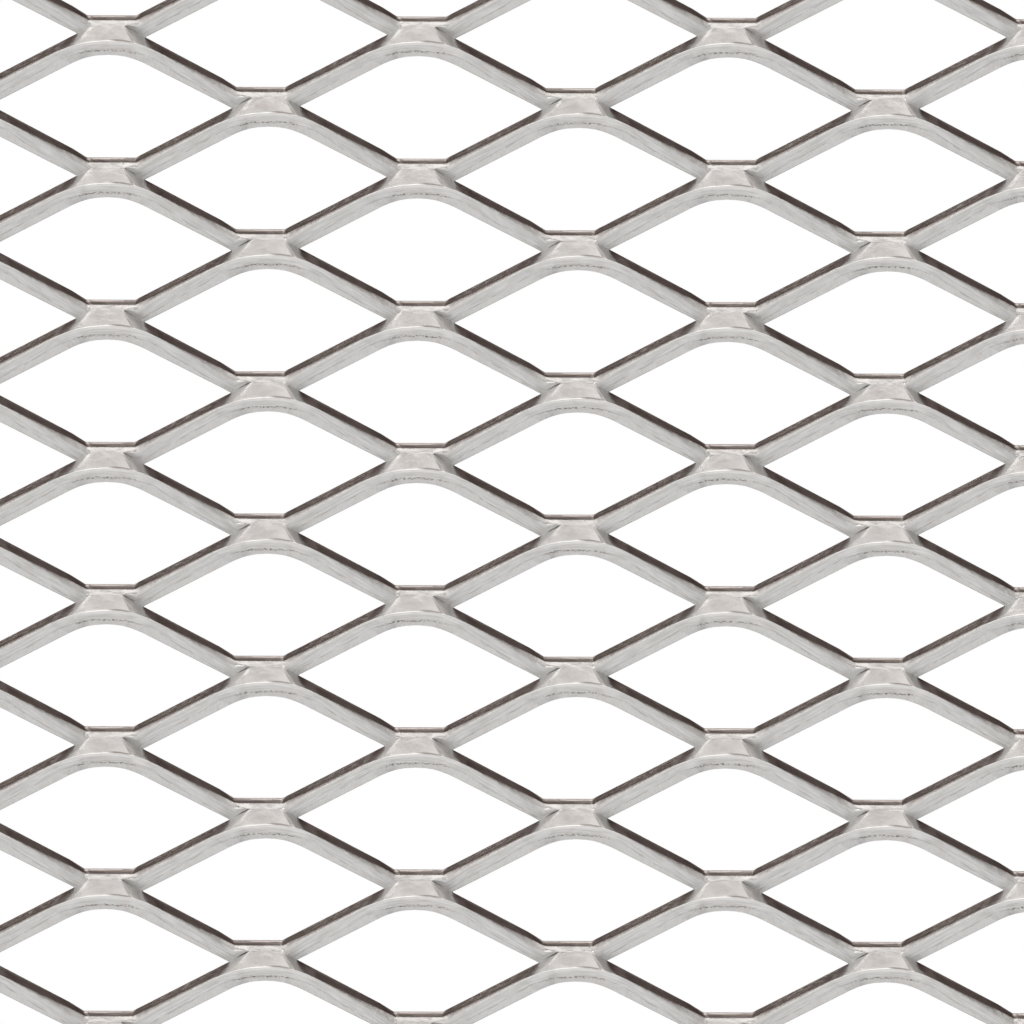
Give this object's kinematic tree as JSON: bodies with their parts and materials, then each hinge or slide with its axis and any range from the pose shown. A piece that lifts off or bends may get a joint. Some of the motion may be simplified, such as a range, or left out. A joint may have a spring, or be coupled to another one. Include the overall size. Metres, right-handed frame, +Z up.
{
  "type": "expanded metal sheet",
  "caption": "Cut sheet of raised expanded metal: slanted strands joined at raised bonds, with open diamonds between them, for guards, screens and infill panels.",
  "frame": {"origin": "centre of the sheet in plan, on the floor that it lies on", "axes": "+X along the long way of the diamonds, +Y along the short way, up the sheet; +Z up, out of the face that the arches of the bonds stand on"},
  "size_m": [0.3048, 0.3052, 0.0078],
  "materials": {
    "bare_metal": "bare mill finish with sheared edges"
  },
  "bodies": {
    "root": {"expanded_mesh_sheet": "bare_metal"}
  },
  "joints": []
}
